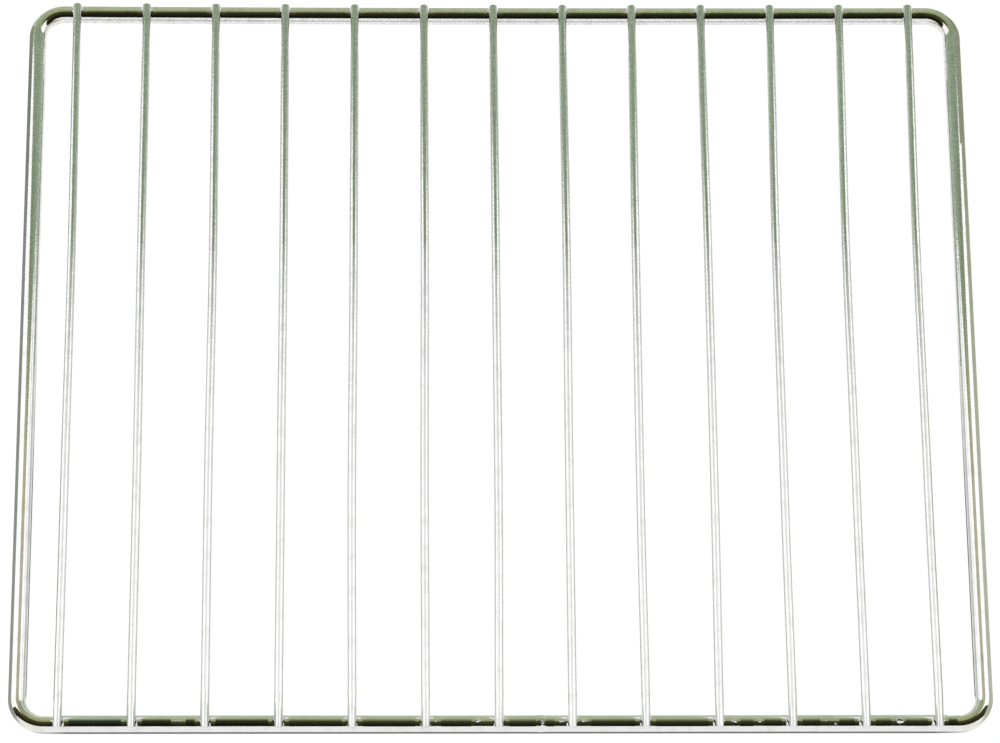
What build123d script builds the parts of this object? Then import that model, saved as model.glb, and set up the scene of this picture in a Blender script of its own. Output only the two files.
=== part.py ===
from build123d import *
import os

# Fryer tube rack, in millimetres: a welded wire rack that lies over the burner tubes of a fryer tank.
# One loop of thick round wire, bent at its four corners and closed by a butt weld in the near rail,
# carries a row of thin straight wires. Each thin wire lies across the far and near rails and is
# resistance-welded to both, so it is pressed a little way into them and some metal is squeezed out.
# The origin is under the middle of the rack, on the plane that the loop rests on. +X runs along the
# long rails, +Y points away from the near rail, and +Z is up.

os.makedirs("parts", exist_ok=True)

# Loop of thick wire
FRAME_WIDTH = 341.5  # over the outside, along X
FRAME_DEPTH = 285.5  # over the outside, along Y
FRAME_WIRE = 6.35  # diameter
BEND_RADIUS = 9.5  # of each corner, at the axis of the wire

# Row of thin wires
CROSS_WIRE = 3.06  # diameter
WIRE_COUNT = 13
LEFT_GAP = 14.3  # from the axis of the left rail to that of the first wire
RIGHT_GAP = 16.1  # from the axis of the last wire to that of the right rail
NEAR_OVERHANG = 2.5  # of the near end, past the axis of its rail
FAR_OVERHANG = 2.0  # of the far end
END_CHAMFER = 0.3  # on the cut ends

# Butt weld that closes the loop, in the near rail
SEAM_WIRE = 7  # number of the thin wire to the left of it
SEAM_OFFSET = 14.7  # from the axis of that wire
SEAM_WIDTH = 1.4
SEAM_RISE = 0.3  # of its upset ring, above the top of the rail
SEAM_DRESSING = 0.1  # how far the ring is ground back inside the wire at the underside
SEAM_TAPER = 15  # degrees, of the sides of the ring

# Resistance weld at each crossing
WELD_SINK = 0.6  # how far the thin wire is pressed into the rail
NUGGET_REACH = 0.8  # of the squeezed-out metal, past each flank of the thin wire
NUGGET_RADIUS = 2.0  # of its round back, under the thin wire
NUGGET_DEPTH = 1.25  # of the axis of that back, below the top of the rail
NUGGET_TAPER = 15  # degrees, from the thin wire out to each tip

# Places that follow from these sizes
frame_radius = FRAME_WIRE / 2
wire_radius = CROSS_WIRE / 2
rail_x = FRAME_WIDTH / 2 - frame_radius
rail_y = FRAME_DEPTH / 2 - frame_radius
rail_top = FRAME_WIRE
wire_z = rail_top - WELD_SINK + wire_radius
nugget_z = rail_top - NUGGET_DEPTH
nugget_half = wire_radius + NUGGET_REACH
wire_length = 2 * rail_y + NEAR_OVERHANG + FAR_OVERHANG
wire_pitch = (2 * rail_x - LEFT_GAP - RIGHT_GAP) / (WIRE_COUNT - 1)
first_wire_x = LEFT_GAP - rail_x
seam_x = first_wire_x + (SEAM_WIRE - 1) * wire_pitch + SEAM_OFFSET
ring_radius = frame_radius + (SEAM_RISE - SEAM_DRESSING) / 2
ring_lift = (SEAM_RISE + SEAM_DRESSING) / 2

# The loop is a round section swept along a rectangle with rounded corners
with BuildPart() as frame_loop:
    with BuildLine(Plane.XY.offset(frame_radius)) as loop_axis:
        FilletPolyline(
            (-rail_x, -rail_y), (rail_x, -rail_y), (rail_x, rail_y), (-rail_x, rail_y),
            radius=BEND_RADIUS,
            close=True,
        )
    with BuildSketch(Plane(loop_axis.line @ 0, z_dir=loop_axis.line % 0)):
        Circle(frame_radius)
    sweep(path=loop_axis.line)

    # The upset ring of the butt weld stands proud on top and is ground away underneath
    with BuildSketch(Plane.YZ.offset(seam_x)):
        with Locations((-rail_y, frame_radius + ring_lift)):
            Circle(ring_radius)
    extrude(amount=SEAM_WIDTH / 2, both=True, taper=SEAM_TAPER)

frame_loop.part.label = "frame_loop"
export_step(frame_loop.part, "parts/frame_loop.step")

# The thin wires, each with its two welds
for number in range(1, WIRE_COUNT + 1):
    wire_x = first_wire_x + (number - 1) * wire_pitch

    with BuildPart() as cross_wire:
        with BuildSketch(Plane.XZ.offset(rail_y + NEAR_OVERHANG)):
            with Locations((wire_x, wire_z)):
                Circle(wire_radius)
        extrude(amount=-wire_length)
        chamfer(cross_wire.edges().filter_by(GeomType.CIRCLE), END_CHAMFER)

        # The squeezed-out metal is a round-backed nugget along the top of each rail, with tapered tips
        with BuildSketch(Plane.YZ.offset(wire_x)):
            with Locations((-rail_y, nugget_z), (rail_y, nugget_z)):
                Circle(NUGGET_RADIUS)
        extrude(amount=nugget_half, both=True, taper=NUGGET_TAPER)

        # Wire and nuggets end at the surface of the rails, so that they seat on it
        with BuildSketch(Plane.YZ.offset(wire_x)):
            with Locations((-rail_y, frame_radius), (rail_y, frame_radius)):
                Circle(frame_radius)
        extrude(amount=2 * nugget_half, both=True, mode=Mode.SUBTRACT)

    node = f"cross_wire_{number:02d}"
    cross_wire.part.label = node
    export_step(cross_wire.part, f"parts/{node}.step")
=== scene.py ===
# %% [markdown]
# # Fryer tube rack
# A fryer tube rack is a flat grid of bright plated steel wire that lies over the burner tubes of a deep
# fryer. The CAD model is loaded first and stays as it is: it says where every wire lies and how thick it
# is. A plated wire is a mirror, and a mirror shows every flat of a coarse mesh, so each wire is modelled
# again here, rounder and with the small marks that bending and welding leave on it.

import math
import random

import bmesh
import bpy
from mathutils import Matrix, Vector


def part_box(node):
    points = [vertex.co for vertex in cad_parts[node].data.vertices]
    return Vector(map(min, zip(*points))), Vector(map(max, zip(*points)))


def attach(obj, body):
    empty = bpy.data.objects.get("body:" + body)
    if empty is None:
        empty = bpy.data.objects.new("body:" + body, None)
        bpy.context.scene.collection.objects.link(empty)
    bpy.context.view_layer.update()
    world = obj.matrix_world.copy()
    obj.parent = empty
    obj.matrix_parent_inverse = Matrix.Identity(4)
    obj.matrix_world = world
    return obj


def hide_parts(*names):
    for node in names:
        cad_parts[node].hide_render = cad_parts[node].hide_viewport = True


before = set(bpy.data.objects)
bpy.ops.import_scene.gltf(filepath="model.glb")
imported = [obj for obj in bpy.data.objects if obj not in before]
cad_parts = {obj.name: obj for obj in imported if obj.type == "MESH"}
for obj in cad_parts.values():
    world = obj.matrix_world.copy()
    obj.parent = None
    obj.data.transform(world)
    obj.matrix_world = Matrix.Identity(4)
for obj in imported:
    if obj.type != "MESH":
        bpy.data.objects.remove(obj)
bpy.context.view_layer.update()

# %% [markdown]
# ## Sizes
# Every place is measured on the CAD nodes, so the new pieces fit them without being moved afterwards. The
# box of the loop gives the lines of its four rails. The box of a thin wire gives its own place, its two
# ends and its top. Only the two wire sizes and the bend of the corners are written down here.

# %% Measure the CAD nodes
MM = 0.001
LOOP_RADIUS = 3.175 * MM
BEND_RADIUS = 9.5 * MM
WIRE_RADIUS = 1.53 * MM

WIRE_NAMES = sorted(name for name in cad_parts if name.startswith("cross_wire"))
loop_low, loop_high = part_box("frame_loop")
RAIL_X = loop_high.x - LOOP_RADIUS
RAIL_Y = loop_high.y - LOOP_RADIUS
wire_low, wire_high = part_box(WIRE_NAMES[0])
NEAR_END = wire_low.y
FAR_END = wire_high.y
WIRE_Z = wire_high.z - WIRE_RADIUS
wire_places = [(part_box(name)[0].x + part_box(name)[1].x) / 2 for name in WIRE_NAMES]
SEAM_X = wire_places[6] + 14.7 * MM
print("rails at", round(RAIL_X / MM, 3), round(RAIL_Y / MM, 3), "thin wire axis at", round(WIRE_Z / MM, 3))
print(len(WIRE_NAMES), "thin wires from", round(NEAR_END / MM, 2), "to", round(FAR_END / MM, 2))

# %% [markdown]
# ## Helpers for modelling by hand
# An operator works on whatever is selected. These helpers put Blender in the state that a modeller would
# have on screen: nothing selected, one ring of edges alive, and then one move at a time. The last one pulls
# on a few vertices and lets their neighbours follow, which is how a true wire is made a little untrue.

# %% Select, extrude and pull
def deselect_everything():
    """Nothing is selected and nothing is in edit mode."""
    if bpy.context.object and bpy.context.object.mode != "OBJECT":
        bpy.ops.object.mode_set(mode="OBJECT")
    bpy.ops.object.select_all(action="DESELECT")


def edit_only(piece):
    """Opens one piece in edit mode, with vertices as what is selected."""
    deselect_everything()
    piece.select_set(True)
    bpy.context.view_layer.objects.active = piece
    bpy.ops.object.mode_set(mode="EDIT")
    bpy.ops.mesh.select_mode(type="VERT")


def start_ring(name, sides, radius, place, turn):
    """A new piece that is only an open circle of edges, in edit mode and selected."""
    deselect_everything()
    bpy.ops.mesh.primitive_circle_add(vertices=sides, radius=radius, location=place, rotation=turn)
    piece = bpy.context.object
    piece.name = name
    piece.data.name = name
    bpy.ops.object.transform_apply(location=True, rotation=True, scale=True)
    edit_only(piece)
    bpy.ops.mesh.select_all(action="SELECT")
    return piece


def extrude_by(move):
    """Draws the selected ring out by one straight step."""
    bpy.ops.mesh.extrude_region_move(TRANSFORM_OT_translate={"value": move})


def draw_run(move, steps):
    """Draws the selected ring out in equal steps, so that the run can be bent a little later."""
    for _ in range(steps):
        extrude_by(Vector(move) / steps)


def select_where(piece, test):
    """Selects the vertices of a piece in edit mode whose place passes the test, and returns how many."""
    bpy.ops.mesh.select_all(action="DESELECT")
    edited = bmesh.from_edit_mesh(piece.data)
    for vertex in edited.verts:
        vertex.select_set(test(vertex.co))
    edited.select_flush_mode()
    bmesh.update_edit_mesh(piece.data)
    return sum(vertex.select for vertex in edited.verts)


def pull(move, reach, falloff="SMOOTH"):
    """Moves the selection and, less and less, what lies around it, as proportional editing does."""
    bpy.ops.transform.translate(
        value=move,
        use_proportional_edit=True,
        proportional_edit_falloff=falloff,
        proportional_size=reach,
    )


def finish_shell(piece, smooth_angle=50):
    """Merges doubles, turns the faces outwards and shades them smoothly."""
    bpy.ops.mesh.select_all(action="SELECT")
    bpy.ops.mesh.remove_doubles(threshold=0.002 * MM)
    bpy.ops.mesh.normals_make_consistent(inside=False)
    bpy.ops.object.mode_set(mode="OBJECT")
    bpy.ops.object.shade_smooth_by_angle(angle=math.radians(smooth_angle))
    print(piece.name, "has", len(piece.data.polygons), "faces")

# %% [markdown]
# ## The loop
# The real loop is one length of thick wire that goes through a bender four times and is closed by a butt
# weld. It could be a curve with a bevel, but drawing a ring along the rails and spinning it round each
# corner is how the wire was made, and it leaves a clean mesh of rings. The ring starts just after the butt
# weld and comes back to it from the left.

# %% Draw the ring round the four rails
LOOP_SIDES = 64
BEND_STEPS = 18
LONG_STEPS = 24
SIDE_STEPS = 20
COLLAR_END = 4.0 * MM

loop = start_ring(
    "plated_loop",
    LOOP_SIDES,
    LOOP_RADIUS,
    (SEAM_X + COLLAR_END, -RAIL_Y, LOOP_RADIUS),
    (0, math.radians(90), 0),
)
straight_x = RAIL_X - BEND_RADIUS
straight_y = RAIL_Y - BEND_RADIUS
draw_run((straight_x - SEAM_X - COLLAR_END, 0, 0), LONG_STEPS // 2)
bends = (
    ((straight_x, -straight_y), (0, 2 * straight_y, 0), SIDE_STEPS),
    ((straight_x, straight_y), (-2 * straight_x, 0, 0), LONG_STEPS),
    ((-straight_x, straight_y), (0, -2 * straight_y, 0), SIDE_STEPS),
    ((-straight_x, -straight_y), (straight_x + SEAM_X - 6 * MM, 0, 0), LONG_STEPS // 2),
)
for (centre_x, centre_y), run, steps in bends:
    bpy.ops.mesh.spin(
        steps=BEND_STEPS,
        angle=math.radians(-90),
        center=(centre_x, centre_y, LOOP_RADIUS),
        axis=(0, 0, 1),
    )
    draw_run(run, steps)
ring_now = [vertex.co.x for vertex in bmesh.from_edit_mesh(loop.data).verts if vertex.select]
print("ring stands", round((SEAM_X - sum(ring_now) / len(ring_now)) / MM, 2), "mm before the butt weld")

# %% [markdown]
# ## The butt weld
# Where the two ends of the loop were pushed together hot, the wire is a little thicker for some
# millimetres, and a thin ring of metal stands out in the middle. It was ground off below, so that the rack
# lies flat. The ring is not quite round, because the ends were not quite square.

# %% Upset collar
COLLAR_STEPS = (
    (-4.4, 1.004, 0.01),
    (-2.9, 1.012, 0.04),
    (-1.7, 1.017, 0.07),
    (-0.95, 1.015, 0.08),
    (-0.55, 1.020, 0.12),
    (-0.28, 1.038, 0.20),
    (0.16, 1.038, 0.20),
    (0.5, 1.016, 0.10),
    (1.0, 1.009, 0.05),
    (2.2, 1.004, 0.02),
    (4.0, 1.000, 0.00),
)
here = SEAM_X - 6 * MM
previous_scale = 1.0
previous_lift = 0.0
for offset, scale, lift in COLLAR_STEPS:
    there = SEAM_X + offset * MM
    extrude_by((there - here, 0, (lift - previous_lift) * MM))
    change = scale / previous_scale
    bpy.ops.transform.resize(
        value=(1, change, change),
        center_override=(there, -RAIL_Y, LOOP_RADIUS + lift * MM),
    )
    here, previous_scale, previous_lift = there, scale, lift
bpy.ops.mesh.select_all(action="SELECT")
bpy.ops.mesh.remove_doubles(threshold=0.002 * MM)
print("collar drawn from", len(COLLAR_STEPS), "rings")

# %% Make the ring uneven
RING_DENTS = ((99, -0.40, 0.03), (78, 0.32, 0.0), (50, -0.28, -0.10), (30, 0.34, -0.10), (120, 0.25, 0.0))


def rail_point(x, degrees, out=0.0):
    """A point on the near rail's skin, by its angle up from the front."""
    radius = LOOP_RADIUS + out
    turn = math.radians(degrees)
    return Vector((x, -RAIL_Y - radius * math.cos(turn), LOOP_RADIUS + radius * math.sin(turn)))


for degrees, sideways, outwards in RING_DENTS:
    spot = rail_point(SEAM_X, degrees, 0.2 * MM)
    found = select_where(loop, lambda co: (co - spot).length < 0.5 * MM)
    push = (rail_point(0, degrees, outwards * MM) - rail_point(0, degrees)) + Vector((sideways * MM, 0, 0))
    pull(push, 0.9 * MM)
    print("ring dented at", degrees, "degrees by", found, "vertices")

# %% [markdown]
# ## Bent a little by use
# The far rail is not quite straight: its middle stands half a millimetre nearer than its ends. A parabola
# is the shape of an evenly bent bar, and proportional editing has it as one of its falloffs.

# %% Bow the far rail
FAR_BOW = 0.42 * MM
FAR_BOW_X = 8 * MM
FAR_BOW_REACH = 165 * MM
select_where(loop, lambda co: abs(co.y - RAIL_Y) < 5 * MM and abs(co.x - FAR_BOW_X) < 8 * MM)
pull((0, -FAR_BOW, 0), FAR_BOW_REACH, "INVERSE_SQUARE")


def far_bow(x):
    """How much nearer the far rail is at a place along it."""
    share = abs(x - FAR_BOW_X) / FAR_BOW_REACH
    return FAR_BOW * max(0.0, 1 - share * share)


finish_shell(loop)

# %% [markdown]
# ## Weld spatter
# Welding throws small drops of steel about, and those that land on the wire are plated over with it. A drop
# freezes as a low lopsided dome. A small ball is the nearest start: it is squashed onto the skin of the
# rail and pulled out of round, and then joined to the loop, because no one would take it off.

# %% Drops on the near rail
DROPS = (
    (137.6, 94, 1.18, 1.05),
    (-111.0, 104, 0.48, 0.9),
    (-112.6, 100, 0.40, 0.9),
    (-22.6, 93, 0.42, 1.0),
    (-8.5, 93, 0.60, 1.05),
    (-7.6, 95, 0.44, 1.1),
    (13.45, 101, 0.46, 1.15),
    (13.95, 89, 0.46, 1.15),
    (14.1, 77, 0.44, 1.15),
    (13.8, 113, 0.38, 1.0),
    (20.2, 90, 0.44, 1.0),
    (21.2, 92, 0.42, 1.0),
    (28.2, 94, 0.56, 1.05),
    (29.4, 94, 0.32, 1.0),
    (79.8, 92, 0.44, 1.0),
    (80.9, 89, 0.56, 1.0),
    (89.1, 91, 0.58, 1.05),
    (112.2, 95, 0.42, 0.95),
    (115.4, 72, 0.34, 1.0),
)
drops = []
for number, (along, degrees, size, height) in enumerate(DROPS):
    deselect_everything()
    seat = rail_point(along * MM, degrees)
    bpy.ops.mesh.primitive_ico_sphere_add(subdivisions=3, radius=size * MM, location=seat)
    drop = bpy.context.object
    drop.name = f"drop_{number:02d}"
    bpy.ops.object.transform_apply(location=True, rotation=True, scale=True)
    edit_only(drop)
    bpy.ops.mesh.select_all(action="SELECT")
    bpy.ops.transform.resize(value=(1.15, 1, height), center_override=seat)
    side = -1 if number % 2 else 1
    tip = seat + Vector((side * size * MM, 0, 0))
    select_where(drop, lambda co: (co - tip).length < 0.5 * size * MM)
    pull((side * 0.25 * size * MM, -0.2 * size * MM, 0), 1.2 * size * MM)
    bpy.ops.object.mode_set(mode="OBJECT")
    bpy.ops.object.shade_smooth_by_angle(angle=math.radians(60))
    drops.append(drop)
deselect_everything()
for drop in drops:
    drop.select_set(True)
loop.select_set(True)
bpy.context.view_layer.objects.active = loop
bpy.ops.object.join()
print(len(drops), "drops joined, the loop now has", len(loop.data.polygons), "faces")

# %% [markdown]
# ## One thin wire
# The thirteen thin wires are cut from the same straight stock and welded the same way, so one is modelled
# and copied. Both cut ends have a small chamfer, which stays crisp when the rest is shaded smoothly, and the
# near cut is slanted a little, as a shear leaves it. The ring is drawn from the near end to the far one, in
# short steps where the welds are.

# %% Draw the thin wire
WIRE_SIDES = 40
WELD_STEP = 0.35 * MM
WELD_STEPS = 16
RUN_STEPS = 60
NEAR_RINGS = ((0.0, 0.80), (0.306, 1.0), (0.6, 1.0))
FAR_RINGS = ((0.0, 0.86), (0.214, 1.0), (0.45, 1.0))
CHAMFER_STAYS = 42

thin_wire = start_ring(
    "thin_wire",
    WIRE_SIDES,
    WIRE_RADIUS * NEAR_RINGS[0][1],
    (0, NEAR_END, WIRE_Z),
    (math.radians(90), 0, 0),
)
bpy.ops.mesh.edge_face_add()
near_run = NEAR_END + NEAR_RINGS[-1][0] * MM + WELD_STEPS * WELD_STEP
far_run = FAR_END - FAR_RINGS[-1][0] * MM - WELD_STEPS * WELD_STEP
stations = [(NEAR_END + depth * MM, share) for depth, share in NEAR_RINGS[1:]]
stations += [(near_run - (WELD_STEPS - step) * WELD_STEP, 1.0) for step in range(1, WELD_STEPS + 1)]
stations += [(near_run + (far_run - near_run) * step / RUN_STEPS, 1.0) for step in range(1, RUN_STEPS + 1)]
stations += [(far_run + step * WELD_STEP, 1.0) for step in range(1, WELD_STEPS + 1)]
stations += [(FAR_END - depth * MM, share) for depth, share in reversed(FAR_RINGS[:-1])]
here, previous_share = NEAR_END, NEAR_RINGS[0][1]
for there, share in stations:
    extrude_by((0, there - here, 0))
    bpy.ops.transform.resize(
        value=(share / previous_share, 1, share / previous_share),
        center_override=(0, there, WIRE_Z),
    )
    here, previous_share = there, share
bpy.ops.mesh.edge_face_add()
print("thin wire drawn through", len(stations), "rings")

# %% Slant the near cut
NEAR_SLANT = math.radians(-14)
select_where(thin_wire, lambda co: co.y < NEAR_END + 0.4 * MM)
bpy.ops.transform.rotate(
    value=NEAR_SLANT,
    orient_axis="X",
    center_override=(0, NEAR_END + 0.3 * MM, WIRE_Z),
)
cut = [vertex.co.copy() for vertex in bmesh.from_edit_mesh(thin_wire.data).verts if vertex.select]
cut_top = max(cut, key=lambda co: co.z)
cut_foot = min(cut, key=lambda co: co.z)
print("top of the cut stands", round((cut_top.y - cut_foot.y) / MM, 2), "mm behind its foot")

# %% [markdown]
# ## The welds
# A resistance weld presses the thin wire into the rail while the current melts the contact, and the metal
# that is squeezed out freezes as an ear on each side, along the top of the rail. Each ear is pulled out of
# the wire's own flank, so wire and weld stay one skin, as they are on the rack.

# %% Squeeze metal out at the welds
EAR_ANGLE = math.radians(28)
EAR_REACH = 0.85 * MM
EAR_DROP = 0.45 * MM
EAR_SPREAD = 1.5 * MM
EAR_BACK = 0.35 * MM


def flank_point(side, rail):
    """A point low on one flank of the thin wire, where it crosses a rail."""
    across = WIRE_RADIUS * math.cos(EAR_ANGLE)
    below = WIRE_RADIUS * math.sin(EAR_ANGLE)
    return Vector((side * across, rail, WIRE_Z - below))


for rail in (-RAIL_Y, RAIL_Y):
    for side in (-1, 1):
        spot = flank_point(side, rail + EAR_BACK)
        found = select_where(thin_wire, lambda co: (co - spot).length < 0.3 * MM)
        pull((side * EAR_REACH, 0, -EAR_DROP), EAR_SPREAD)
        print("weld ear at", round(rail / MM, 1), "side", side, "from", found, "vertices")
finish_shell(thin_wire, CHAMFER_STAYS)

# %% [markdown]
# ## Thirteen copies, none quite straight
# Each copy gets a mesh of its own, and is then bent as the real one is. A thin wire bows sideways by some
# tenths of a millimetre, and some sag or stand up in the middle. That is too little to see as a bend, but a
# mirror shows it: it moves the line where the reflected wall begins. The ears differ a little as well.

# %% Copy the wire and bend each copy
FAR_STATION = 40 * MM
NEAR_STATION = -52 * MM
STATION_REACH = 92 * MM
SIDE_BOWS = (
    (0.32, 0.18), (-0.14, 0.11), (0.25, -0.14), (0.14, 0.0), (-0.04, -0.36), (0.11, -0.14), (0.25, 0.46),
    (0.32, 0.07), (-0.25, -0.39), (0.39, 0.39), (-0.54, -0.36), (-0.68, -0.32), (-0.6, -0.39),
)
RISES = (0.0, -0.2, -0.4, -0.5, -0.55, 0.0, 0.0, 0.45, 0.55, 0.0, 0.0, 0.0, 0.0)
ring_half = 0.6 * (far_run - near_run) / RUN_STEPS
luck = random.Random(13)

wires = []
for name, place, bows, rise in zip(WIRE_NAMES, wire_places, SIDE_BOWS, RISES):
    deselect_everything()
    thin_wire.select_set(True)
    bpy.context.view_layer.objects.active = thin_wire
    bpy.ops.object.duplicate(linked=False)
    wire = bpy.context.object
    wire.name = "plated_" + name
    wire.data.name = wire.name
    edit_only(wire)
    for station, bow in zip((FAR_STATION, NEAR_STATION), bows):
        select_where(wire, lambda co: abs(co.y - station) < ring_half)
        pull((bow * MM, 0, 0), STATION_REACH)
    if rise:
        select_where(wire, lambda co: abs(co.y) < ring_half)
        pull((0, 0, rise * MM), RAIL_Y - 3 * MM, "INVERSE_SQUARE")
    for rail in (-RAIL_Y, RAIL_Y):
        for side in (-1, 1):
            spot = flank_point(side, rail + EAR_BACK)
            spot += Vector((side * EAR_REACH, luck.uniform(-0.5, 0.5) * MM, -EAR_DROP))
            select_where(wire, lambda co: (co - spot).length < 0.45 * MM)
            pull((side * luck.uniform(-0.3, 0.25) * MM, luck.uniform(-0.3, 0.3) * MM, 0), 1.3 * MM)
    select_where(wire, lambda co: co.y > RAIL_Y - 5 * MM)
    bpy.ops.transform.translate(value=(0, -far_bow(place), 0))
    bpy.ops.object.mode_set(mode="OBJECT")
    wire.location.x = place
    bpy.ops.object.transform_apply(location=True, rotation=True, scale=True)
    wires.append(wire)
bpy.data.objects.remove(thin_wire)
print(len(wires), "thin wires, each with", len(wires[0].data.polygons), "faces")

# %% Knock in the eighth wire
KINK_Y = 115 * MM
KINK_DROP = 0.7 * MM


def lower_on_one_side(piece, keep, ring_y, drop, reach):
    """Lowers one ring and, evenly less, the side of the wire that the test keeps."""
    edit_only(piece)
    select_where(piece, lambda co: not keep(co.y))
    bpy.ops.mesh.hide(unselected=False)
    select_where(piece, lambda co: keep(co.y) and abs(co.y - ring_y) < ring_half)
    pull((0, 0, -drop), reach, "LINEAR")
    bpy.ops.mesh.reveal(select=False)
    bpy.ops.object.mode_set(mode="OBJECT")


eighth = wires[7]
lower_on_one_side(eighth, lambda y: y > KINK_Y, KINK_Y + ring_half, KINK_DROP, RAIL_Y - KINK_Y)
lower_on_one_side(eighth, lambda y: y <= KINK_Y, KINK_Y - ring_half, KINK_DROP, RAIL_Y + KINK_Y)
print("eighth wire lowered by", KINK_DROP / MM, "mm at", KINK_Y / MM)

# %% [markdown]
# ## Plating
# Bright plating is a metal with almost no colour of its own: it shows the room. What tells it from a perfect
# mirror is what lies under and on it. Drawing the wire through a die leaves fine lines along it, the plated
# skin is slightly uneven like orange peel, and here and there it is duller. Fine flecks mottle it, less
# towards the near rail. All of that is in the nodes, as bump, roughness and colour, so it works in any light.

# %% Node helpers
def add_node(tree, kind, options=None, inputs=None):
    """Adds a node, sets its options, and sets or links its inputs."""
    made = tree.nodes.new("ShaderNode" + kind)
    for option, value in (options or {}).items():
        setattr(made, option, value)
    for socket, value in (inputs or {}).items():
        if isinstance(value, bpy.types.NodeSocket):
            tree.links.new(value, made.inputs[socket])
        else:
            made.inputs[socket].default_value = value
    return made


def calc(tree, operation, first, second=0.0):
    """The result of one sum on two values or sockets."""
    return add_node(tree, "Math", {"operation": operation}, {0: first, 1: second}).outputs[0]


def noise(tree, vector, scale, detail):
    """Soft noise from 0 to 1, with its scale in patches per metre."""
    made = add_node(tree, "TexNoise", inputs={"Vector": vector, "Scale": scale, "Detail": detail})
    return made.outputs["Fac"]


def spread(tree, value, low, high, start=0.3, end=0.7):
    """Stretches a value over a range."""
    numbers = {"Value": value, "From Min": start, "From Max": end, "To Min": low, "To Max": high}
    return add_node(tree, "MapRange", inputs=numbers).outputs["Result"]

# %% The plated skin
CLEAN_PLATE = (0.80, 0.80, 0.795, 1)
DULL_PLATE = (0.70, 0.71, 0.685, 1)
BEND_TINT = (1.0, 0.995, 0.93, 1)
FLECKS = 1300
FLECK_DARK = (0.83, 0.84, 0.86, 1)
FLECK_LIGHT = (1.11, 1.10, 1.08, 1)
FLECK_NEAR = 0.22
FLECK_FADE = (-0.03, 0.08)
DIE_STRETCH = 1 / 160
PEEL = 1100
PEEL_DEPTH = 0.000010
WAVES = 45
WAVE_DEPTH = 0.000006


def plated_skin(tree, section, along, place, die_lines, die_depth, tinted=0.0):
    """The finish of a plated wire; section holds two places across the wire, along runs with it."""
    run = calc(tree, "MULTIPLY", along, DIE_STRETCH)
    lines_at = add_node(tree, "CombineXYZ", inputs={"X": section[0], "Y": section[1], "Z": run}).outputs[0]
    lines = noise(tree, lines_at, die_lines, 2)
    peel = noise(tree, place, PEEL, 3)
    waves = noise(tree, place, WAVES, 1)
    dull = noise(tree, place, 210, 4)
    wavy = add_node(tree, "Bump", inputs={"Strength": 1.0, "Distance": WAVE_DEPTH, "Height": waves})
    inputs = {"Strength": 1.0, "Distance": PEEL_DEPTH, "Height": peel, "Normal": wavy.outputs[0]}
    peeled = add_node(tree, "Bump", inputs=inputs)
    inputs = {"Strength": 1.0, "Distance": die_depth, "Height": lines, "Normal": peeled.outputs[0]}
    drawn = add_node(tree, "Bump", inputs=inputs)
    haze = spread(tree, dull, 0.0, 1.0, 0.45, 0.75)
    colour = add_node(tree, "MixRGB", inputs={"Fac": haze, "Color1": CLEAN_PLATE, "Color2": DULL_PLATE})
    flecks = spread(tree, noise(tree, place, FLECKS, 2), 0.0, 1.0, 0.34, 0.66)
    fleck = add_node(tree, "MixRGB", inputs={"Fac": flecks, "Color1": FLECK_DARK, "Color2": FLECK_LIGHT})
    far_side = add_node(tree, "SeparateXYZ", inputs={0: place}).outputs["Y"]
    strength = spread(tree, far_side, FLECK_NEAR, 1.0, *FLECK_FADE)
    inputs = {"Fac": strength, "Color1": colour.outputs[0], "Color2": fleck.outputs[0]}
    colour = add_node(tree, "MixRGB", {"blend_type": "MULTIPLY"}, inputs)
    if tinted:
        inputs = {"Fac": tinted, "Color1": colour.outputs[0], "Color2": BEND_TINT}
        colour = add_node(tree, "MixRGB", {"blend_type": "MULTIPLY"}, inputs)
    rough = spread(tree, dull, 0.035, 0.085, 0.35, 0.75)
    shader = tree.nodes["Principled BSDF"]
    shader.inputs["Metallic"].default_value = 1.0
    tree.links.new(colour.outputs[0], shader.inputs["Base Color"])
    tree.links.new(rough, shader.inputs["Roughness"])
    tree.links.new(drawn.outputs[0], shader.inputs["Normal"])


def new_material(name):
    """A material with nodes, and the places of the piece as it lies."""
    material = bpy.data.materials.new(name)
    material.use_nodes = True
    place = add_node(material.node_tree, "TexCoord").outputs["Object"]
    parts = add_node(material.node_tree, "SeparateXYZ", inputs={0: place}).outputs
    return material, place, parts


THIN_LINES = 9000
THIN_LINE_DEPTH = 0.000014
wire_plating, place, parts = new_material("wire_plating")
plated_skin(wire_plating.node_tree, (parts["X"], parts["Z"]), parts["Y"], place, THIN_LINES, THIN_LINE_DEPTH)
for wire in wires:
    wire.data.materials.clear()
    wire.data.materials.append(wire_plating)
print("plating on", len(wires), "thin wires")

# %% [markdown]
# The lines of the loop run round its corners. They need a number that grows across the wire and stays the
# same along it, and that is the distance from a rectangle with rounded corners, worked out from the place.
# The thick wire is smoother than the thin ones. Its bends have a faint yellow tint, where the plating was
# stretched thin or the bath left it so.

# %% Plating of the loop
THICK_LINES = 3500
THICK_LINE_DEPTH = 0.0000006
TINT_FADE = 3.0 * MM
loop_plating, place, parts = new_material("loop_plating")
tree = loop_plating.node_tree
over_x = calc(tree, "SUBTRACT", calc(tree, "ABSOLUTE", parts["X"]), straight_x)
over_y = calc(tree, "SUBTRACT", calc(tree, "ABSOLUTE", parts["Y"]), straight_y)
bend_x = calc(tree, "MAXIMUM", over_x, 0.0)
bend_y = calc(tree, "MAXIMUM", over_y, 0.0)
square = calc(tree, "ADD", calc(tree, "MULTIPLY", bend_x, bend_x), calc(tree, "MULTIPLY", bend_y, bend_y))
outward = calc(tree, "SQRT", square)
along = calc(tree, "ADD", parts["X"], parts["Y"])
bent = spread(tree, calc(tree, "MINIMUM", bend_x, bend_y), 0.0, 1.0, 0.0, TINT_FADE)
plated_skin(tree, (outward, parts["Z"]), along, place, THICK_LINES, THICK_LINE_DEPTH, bent)
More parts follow.
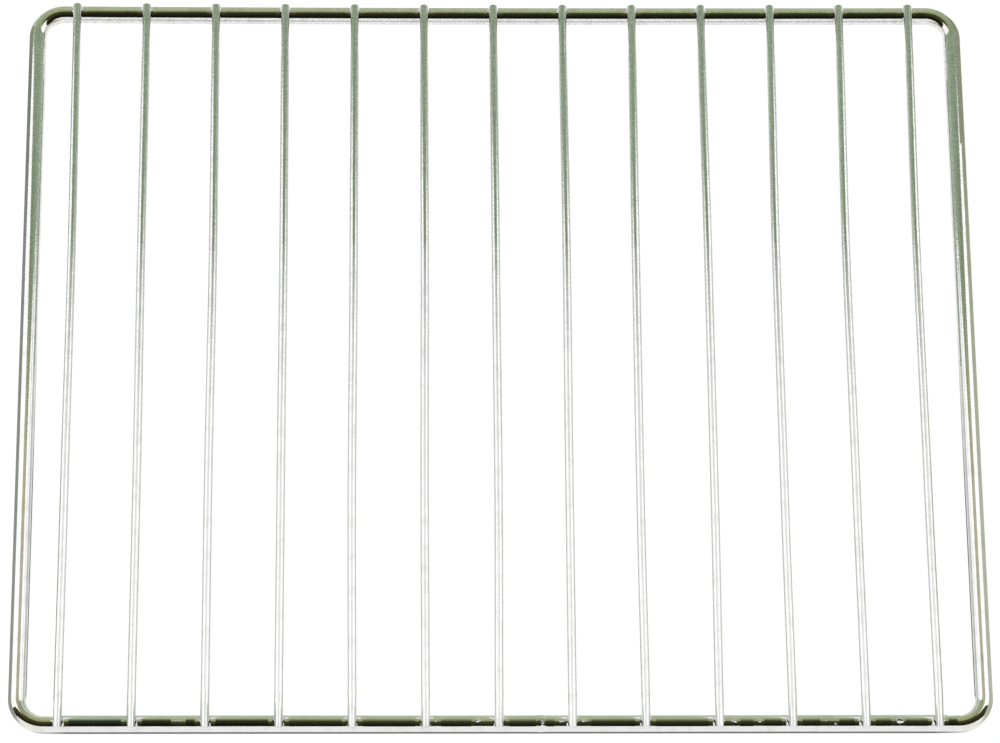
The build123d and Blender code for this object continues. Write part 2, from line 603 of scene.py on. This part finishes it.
loop.data.materials.clear()
loop.data.materials.append(loop_plating)
print("plating on the loop, with", len(tree.nodes), "nodes")

# %% Hand the pieces to the frame
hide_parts("frame_loop")
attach(loop, "root")
for wire, name in zip(wires, WIRE_NAMES):
    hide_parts(name)
    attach(wire, "root")
print("pieces handed over:", 1 + len(wires))

# %% [markdown]
# ## The studio
# A mirror looks like the room around it, so most of the likeness of a plated rack is in its studio. The
# rack lies on white paper between two tall slanted white walls that leave a slot above it. A low white card
# stands in front, and the rest of the room is dark above the camera and grey-green behind. Low grey glowing
# cards beside the rack, which only its mirror sees, paint the dark line that runs down the outside of its
# rails: it is a painted reflection of shade.

# %% White paper
PAPER_GLOW = 0.925
PAPER_SHADE = 0.27

deselect_everything()
bpy.ops.mesh.primitive_plane_add(size=6, location=(0, 0, 0))
floor = bpy.context.object
floor.name = "floor"
paper = bpy.data.materials.new("white_paper")
paper.use_nodes = True
tree = paper.node_tree
tree.nodes.clear()
path = add_node(tree, "LightPath").outputs
seen = calc(tree, "MAXIMUM", path["Is Camera Ray"], path["Is Glossy Ray"])
seen = calc(tree, "MAXIMUM", seen, path["Is Transmission Ray"])
glow = add_node(tree, "Emission", inputs={"Strength": PAPER_GLOW})
shade = add_node(tree, "BsdfDiffuse", inputs={"Color": (PAPER_SHADE, PAPER_SHADE, PAPER_SHADE, 1)})
bright = add_node(tree, "AddShader", inputs={0: glow.outputs[0], 1: shade.outputs[0]})
plain = add_node(tree, "BsdfDiffuse", inputs={"Color": (0.8, 0.8, 0.8, 1)})
either = add_node(tree, "MixShader", inputs={0: seen, 1: plain.outputs[0], 2: bright.outputs[0]})
add_node(tree, "OutputMaterial", inputs={"Surface": either.outputs[0]})
floor.data.materials.append(paper)
print("paper", floor.dimensions[0], "m wide")

# %% Walls and front card
WALL_FOOT = 1.400
WALL_TOP_X = 0.523
WALL_TOP_Z = 1.519
WALL_FRONTS = {"wall_left": (-0.20, 0.18), "wall_right": (-0.14, 0.20)}
WALL_BACK = 0.715
WALL_GLOW = (1.30, 1.30, 1.30)
CARD_Y = -0.473
CARD_TOP = 0.365
CARD_GLOW = (1.04, 1.03, 1.05)


def card(name, stations, one_sided=False, small=True):
    """A glowing card drawn from pairs of points with a colour each; the camera does not see it."""
    mesh = bpy.data.meshes.new(name)
    corners = [corner for low, high, colour in stations for corner in (low, high)]
    faces = [(2 * k, 2 * k + 2, 2 * k + 3, 2 * k + 1) for k in range(len(stations) - 1)]
    mesh.from_pydata(corners, [], faces)
    paint = mesh.color_attributes.new(name="glow", type="FLOAT_COLOR", domain="POINT")
    for number, (low, high, colour) in enumerate(stations):
        paint.data[2 * number].color = (*colour, 1)
        paint.data[2 * number + 1].color = (*colour, 1)
    material = bpy.data.materials.new(name)
    material.use_nodes = True
    tree = material.node_tree
    tree.nodes.clear()
    glow = add_node(tree, "Attribute", {"attribute_name": "glow"}).outputs["Color"]
    surface = add_node(tree, "Emission", inputs={"Color": glow}).outputs[0]
    if one_sided:
        behind = add_node(tree, "NewGeometry").outputs["Backfacing"]
        clear = add_node(tree, "BsdfTransparent").outputs[0]
        surface = add_node(tree, "MixShader", inputs={0: behind, 1: surface, 2: clear}).outputs[0]
    add_node(tree, "OutputMaterial", inputs={"Surface": surface})
    mesh.materials.append(material)
    thing = bpy.data.objects.new(name, mesh)
    bpy.context.scene.collection.objects.link(thing)
    thing.visible_camera = False
    thing.visible_shadow = False
    thing.visible_diffuse = not small


for side, name in ((-1, "wall_left"), (1, "wall_right")):
    foot_front = (side * WALL_FOOT, WALL_FRONTS[name][0], 0.02)
    foot_back = (side * WALL_FOOT, WALL_BACK, 0.02)
    top_front = (side * WALL_TOP_X, WALL_FRONTS[name][1], WALL_TOP_Z)
    top_back = (side * WALL_TOP_X, WALL_BACK, WALL_TOP_Z)
    card(name, [(foot_front, top_front, WALL_GLOW), (foot_back, top_back, WALL_GLOW)], small=False)
card(
    "front_card",
    [((x, CARD_Y, 0.005), (x, CARD_Y, CARD_TOP), CARD_GLOW) for x in (-1.2, 1.2)],
    small=False,
)
print("walls glow at", WALL_GLOW[0], "and the front card at", CARD_GLOW[0])

# %% [markdown]
# Small glowing cards stand or lie close to the rack, and only the mirror of the plating sees them, so what
# they draw is painted reflection. Those beside it paint the shade down the outside of each side rail, grey
# on the left and paler and more olive on the right. Strips on the paper paint the contact shadow, the thin
# dark lines where the rails are nearest to it. Low sage strips just behind a rail or inside it keep the
# white paper out of its shoulder, and dark ones over the far and near rails paint their black bands.

# %% Painted shade cards beside the rack
PAPER_Z = 0.3 * MM
SHADE_CARD_IN = 0.1722
SHADE_CARD_OUT = 0.190
LEFT_SHADE_CARD = (
    (-0.152, 0.006, (0.90, 0.90, 0.90)),
    (-0.140, 0.0112, (0.36, 0.36, 0.35)),
    (-0.118, 0.0112, (0.37, 0.37, 0.36)),
    (-0.050, 0.0112, (0.33, 0.34, 0.32)),
    (0.055, 0.0118, (0.30, 0.30, 0.29)),
    (0.118, 0.0138, (0.23, 0.26, 0.20)),
    (0.152, 0.0138, (0.33, 0.36, 0.24)),
)
RIGHT_SHADE_CARD = (
    (-0.152, 0.006, (0.90, 0.90, 0.90)),
    (-0.140, 0.0168, (0.55, 0.57, 0.47)),
    (-0.118, 0.0168, (0.57, 0.59, 0.49)),
    (-0.050, 0.0168, (0.54, 0.56, 0.45)),
    (0.055, 0.0168, (0.43, 0.46, 0.33)),
    (0.085, 0.0168, (0.36, 0.39, 0.27)),
    (0.152, 0.0168, (0.33, 0.36, 0.235)),
)
for side, name, stations in ((-1, "shade_card_left", LEFT_SHADE_CARD), (1, "shade_card_right", RIGHT_SHADE_CARD)):
    inner, outer = side * SHADE_CARD_IN, side * SHADE_CARD_OUT
    lying = [((inner, y, PAPER_Z), (outer, y, PAPER_Z), colour) for y, top, colour in stations]
    standing = [((outer, y, PAPER_Z), (outer, y, top), colour) for y, top, colour in stations]
    card(name + "_lying", lying)
    card(name + "_standing", standing)
# A sage glowing card at the far right paints a reflection of the sage room into the right rail.
FAR_SAGE = (0.33, 0.36, 0.24)
card("sage_reflection_card_far", [((0.176, y, PAPER_Z), (0.176, y, 0.0145), FAR_SAGE) for y in (0.090, 0.155)])
print("flags from", LEFT_SHADE_CARD[0][0], "to", LEFT_SHADE_CARD[-1][0])

# %% Painted contact shadows
# Dark cards on the paper, seen only in the mirror of the rails, paint the contact shadow where each rail is
# nearest it.
PALE = (0.95, 0.95, 0.95)
NEAR_CONTACT_SHADOW = (0.20, 0.22, 0.215)
INNER_CONTACT_SHADOW = (0.22, 0.23, 0.20)
near_contact_shadow = ((-0.163, PALE), (-0.150, NEAR_CONTACT_SHADOW), (0.150, NEAR_CONTACT_SHADOW), (0.163, PALE))
line_front = -RAIL_Y - 7.5 * MM
card("contact_shadow_near", [((x, line_front, PAPER_Z), (x, -RAIL_Y, PAPER_Z), colour) for x, colour in near_contact_shadow])
inner_contact_shadow = ((-0.128, INNER_CONTACT_SHADOW), (-0.050, INNER_CONTACT_SHADOW), (0.010, PALE))
for side, name in ((-1, "contact_shadow_left"), (1, "contact_shadow_right")):
    under = side * (RAIL_X - 0.5 * MM)
    inside = side * (RAIL_X - LOOP_RADIUS - 4.5 * MM)
    card(name, [((under, y, PAPER_Z), (inside, y, PAPER_Z), colour) for y, colour in inner_contact_shadow])
print("contact lines under three rails")

# %% Sage strips at the shoulders
# Sage glowing cards, seen only in the mirror, paint a sage reflection into the rails' shoulders instead of
# the white paper.
SHOULDER = (0.50, 0.55, 0.43)
INSIDE = (0.36, 0.44, 0.33)
STRIP_LOW = 1.8 * MM
STRIP_HIGH = 5.5 * MM
near_y = -RAIL_Y + 11 * MM
far_y = RAIL_Y + 11 * MM
near_strip = [((x, near_y, STRIP_LOW), (x, near_y, STRIP_HIGH), SHOULDER) for x in (-0.155, 0.155)]
card("strip_near", near_strip, True)
card("strip_far", [((x, far_y, PAPER_Z), (x, far_y, 7 * MM), SHOULDER) for x in (-0.175, 0.175)], True)
shoulder_line = (
    (-0.155, (0.40, 0.47, 0.40)),
    (-0.090, (0.46, 0.52, 0.42)),
    (-0.020, (0.82, 0.84, 0.80)),
    (0.040, (0.80, 0.82, 0.77)),
    (0.155, (0.45, 0.51, 0.38)),
)
shoulder_in = -RAIL_Y + 1.5 * MM
lying = [((x, shoulder_in, PAPER_Z), (x, near_y, PAPER_Z), colour) for x, colour in shoulder_line]
card("strip_near_lying", lying)
for side, name, ends in ((-1, "strip_left", (0.116, 0.0)), (1, "strip_right", (0.0, 0.116))):
    x = side * (RAIL_X - 10.4 * MM)
    card(name, [((x, y, STRIP_LOW), (x, y, STRIP_HIGH), INSIDE) for y in ends], True)
print("five sage strips, up to", STRIP_HIGH / MM, "mm high")

# %% Dark strips over the far and near rails
# Dark glowing cards just above the far and near rails, seen only in their mirror, paint the black bands along
# them; LEFT_TINT tints this painted reflection on the left.
STRIP_Z = 9.6 * MM
WIRE_CLEAR = 3.6 * MM
DROP_CLEAR = 1.3 * MM
SHORTEST_BAND = 1.5 * MM
NEAR_BAND = (
    (-0.1329, (0.390, 0.450, 0.270)),
    (-0.1358, (0.280, 0.325, 0.160)),
    (-0.1374, (0.120, 0.135, 0.062)),
    (-0.1385, (0.055, 0.062, 0.025)),
    (-0.1399, (0.025, 0.027, 0.011)),
    (-0.1410, (0.028, 0.028, 0.012)),
    (-0.1422, (0.010, 0.009, 0.005)),
    (-0.1450, (0.008, 0.008, 0.005)),
)
FAR_BAND = (
    (0.1409, (0.110, 0.120, 0.060)),
    (0.1398, (0.060, 0.065, 0.025)),
    (0.1391, (0.045, 0.046, 0.020)),
    (0.1380, (0.028, 0.028, 0.013)),
    (0.1368, (0.010, 0.012, 0.006)),
)
NEAR_SHIFTS = (
    (-141, -0.9), (-115, -1.1), (-64, 0.0), (-14, 0.4), (7, 0.6),
    (37, 0.2), (62, 0.5), (113, -0.1), (132, 0.2), (157, -0.8),
)
LEFT_END = -0.13
LEFT_TINT = (0.94, 1.18, 1.66)


def near_shift(x):
    """How far the band over the near rail stands forward at a place, from the nearest measured one."""
    return min(NEAR_SHIFTS, key=lambda pair: abs(pair[0] * MM - x))[1] * MM


def bands(name, stops, clears, shift):
    """Strips over one rail, with open places at the wires and drops that must not mirror them."""
    start = -straight_x
    count = 0
    for left, right in sorted(clears) + [(straight_x, straight_x)]:
        if left - start > SHORTEST_BAND:
            near_by = shift((start + left) / 2)
            tint = LEFT_TINT if shift is near_shift and left < LEFT_END else (1, 1, 1)
            run = []
            for y, glow in stops:
                shown = [part * change for part, change in zip(glow, tint)]
                run.append(((start, y - near_by, STRIP_Z), (left, y - near_by, STRIP_Z), shown))
            card(f"{name}_{count:02d}", run)
            count += 1
        start = max(start, right)
    print(name, "in", count, "pieces")


wire_clears = [(x - WIRE_CLEAR, x + WIRE_CLEAR) for x in wire_places]
drop_clears = []
for drop_x, degrees, size, height in DROPS:
    half = DROP_CLEAR + size * MM
    drop_clears.append((drop_x * MM - half, drop_x * MM + half))
bands("band_near", NEAR_BAND, wire_clears + drop_clears, near_shift)
bands("band_far", FAR_BAND, wire_clears, far_bow)

# %% [markdown]
# The near half of a thin wire is almost white, with a pale line down its middle and a thin grey one along
# each edge. A pale glowing strip above each wire, seen only in the mirror, paints the middle line as a
# painted highlight and fades to sage where the wire mirrors the back of the room. A light grey card on the
# paper under the rack paints its shade into the mirror of the wires, which draws their edges.

# %% Pale strips over the thin wires and the butt weld
GLEAM_Z = 14 * MM
GLEAM = (
    (-0.148, 1.7, (1.04, 1.00, 1.04)),
    (-0.128, 1.7, (1.04, 1.00, 1.04)),
    (-0.126, 2.8, (1.03, 1.00, 1.03)),
    (-0.050, 2.8, (0.95, 0.93, 0.94)),
    (-0.011, 2.8, (0.85, 0.84, 0.83)),
    (0.028, 2.8, (0.60, 0.60, 0.57)),
    (0.046, 2.8, (0.38, 0.42, 0.34)),
)
for number, x in enumerate(wire_places, 1):
    gleam = [((x - half * MM, y, GLEAM_Z), (x + half * MM, y, GLEAM_Z), glow) for y, half, glow in GLEAM]
    card(f"gleam_{number:02d}", gleam)
# A pale card over the butt weld paints a highlight on its ring.
RING_GLEAM = (0.90, 0.92, 0.88)
ring_left, ring_right = SEAM_X - 0.40 * MM, SEAM_X + 0.25 * MM
ring_gleam = [((ring_left, y, STRIP_Z), (ring_right, y, STRIP_Z), RING_GLEAM) for y in (-0.1335, -0.146)]
card("gleam_ring", ring_gleam)
EDGE_SHADE = (0.70, 0.70, 0.70)
card("edge_shade", [((x, -0.127, 0.1 * MM), (x, 0.127, 0.1 * MM), EDGE_SHADE) for x in (-0.155, 0.155)])
print("pale strips over", len(wire_places), "thin wires")

# %% [markdown]
# The room itself is the world. Its colour only changes from front to back, so it is a ramp over the angle of
# a ray in the upright plane that looks along the thin wires. The middle of the room is more olive than its
# sides, so there are two ramps, mixed by how far a ray goes to the side.

# %% The room
ROOM_START = -90
ROOM_END = 110
ROOM_FRONT = (
    (-90, (0.20, 0.21, 0.19)),
    (-65, (0.005, 0.008, 0.004)),
    (-46, (0.004, 0.008, 0.003)),
    (-33, (0.012, 0.015, 0.006)),
    (-20, (0.022, 0.022, 0.009)),
    (-8, (0.048, 0.047, 0.018)),
    (3, (0.057, 0.061, 0.015)),
    (14, (0.070, 0.080, 0.024)),
    (19.4, (0.090, 0.100, 0.033)),
    (20.8, (0.300, 0.290, 0.180)),
    (21.6, (0.600, 0.570, 0.430)),
    (24, (0.564, 0.536, 0.386)),
    (25.2, (0.445, 0.445, 0.264)),
    (26.2, (0.217, 0.251, 0.155)),
    (27.5, (0.283, 0.358, 0.246)),
    (29, (0.322, 0.415, 0.283)),
)
ROOM_MIDDLE = (
    (33, (0.386, 0.433, 0.205)),
    (45, (0.433, 0.483, 0.246)),
    (62, (0.522, 0.578, 0.364)),
    (85, (0.509, 0.564, 0.409)),
    (105, (0.522, 0.564, 0.445)),
)
ROOM_SIDES = (
    (33, (0.307, 0.397, 0.283)),
    (45, (0.386, 0.483, 0.358)),
    (62, (0.430, 0.510, 0.330)),
    (85, (0.403, 0.489, 0.369)),
    (105, (0.445, 0.509, 0.397)),
)


def room_ramp(tree, share, stops):
    """A colour ramp from angles and colours."""
    ramp = add_node(tree, "ValToRGB", inputs={"Fac": share})
    elements = ramp.color_ramp.elements
    while len(elements) < len(stops):
        elements.new(0.5)
    for element, (degrees, colour) in zip(elements, stops):
        element.position = (degrees - ROOM_START) / (ROOM_END - ROOM_START)
        element.color = (*colour, 1)
    return ramp.outputs["Color"]


world = bpy.data.worlds.new("studio")
bpy.context.scene.world = world
world.use_nodes = True
tree = world.node_tree
tree.nodes.clear()
ray = add_node(tree, "SeparateXYZ", inputs={0: add_node(tree, "TexCoord").outputs["Generated"]}).outputs
angle = calc(tree, "ARCTAN2", ray["Y"], ray["Z"])
share = spread(tree, angle, 0.0, 1.0, math.radians(ROOM_START), math.radians(ROOM_END))
sideways = spread(tree, calc(tree, "ABSOLUTE", ray["X"]), 0.0, 1.0, 0.10, 0.32)
middle = room_ramp(tree, share, ROOM_FRONT + ROOM_MIDDLE)
sides = room_ramp(tree, share, ROOM_FRONT + ROOM_SIDES)
room = add_node(tree, "MixRGB", inputs={"Fac": sideways, "Color1": middle, "Color2": sides})
sky = add_node(tree, "Background", inputs={"Color": room.outputs[0]})
add_node(tree, "OutputWorld", inputs={"Surface": sky.outputs[0]})
print("room ramp with", len(ROOM_FRONT + ROOM_MIDDLE), "stops")

# %% [markdown]
# ## The camera
# The photograph was taken from above and in front, with a long lens, 25 degrees from straight down. The
# numbers were found from the places of the wires in the photograph.

# %% Camera
camera_data = bpy.data.cameras.new("camera")
camera_data.sensor_width = 36
camera_data.lens = 192.8
camera = bpy.data.objects.new("camera", camera_data)
bpy.context.scene.collection.objects.link(camera)
camera.location = (-0.0380, -0.8115, 1.7329)
camera.rotation_mode = "ZYX"
camera.rotation_euler = (math.radians(25), math.radians(-1.157), math.radians(0.025))
bpy.context.scene.camera = camera
bpy.context.scene.view_settings.view_transform = "Standard"
print("camera", round(camera.location.length, 3), "m from the rack")
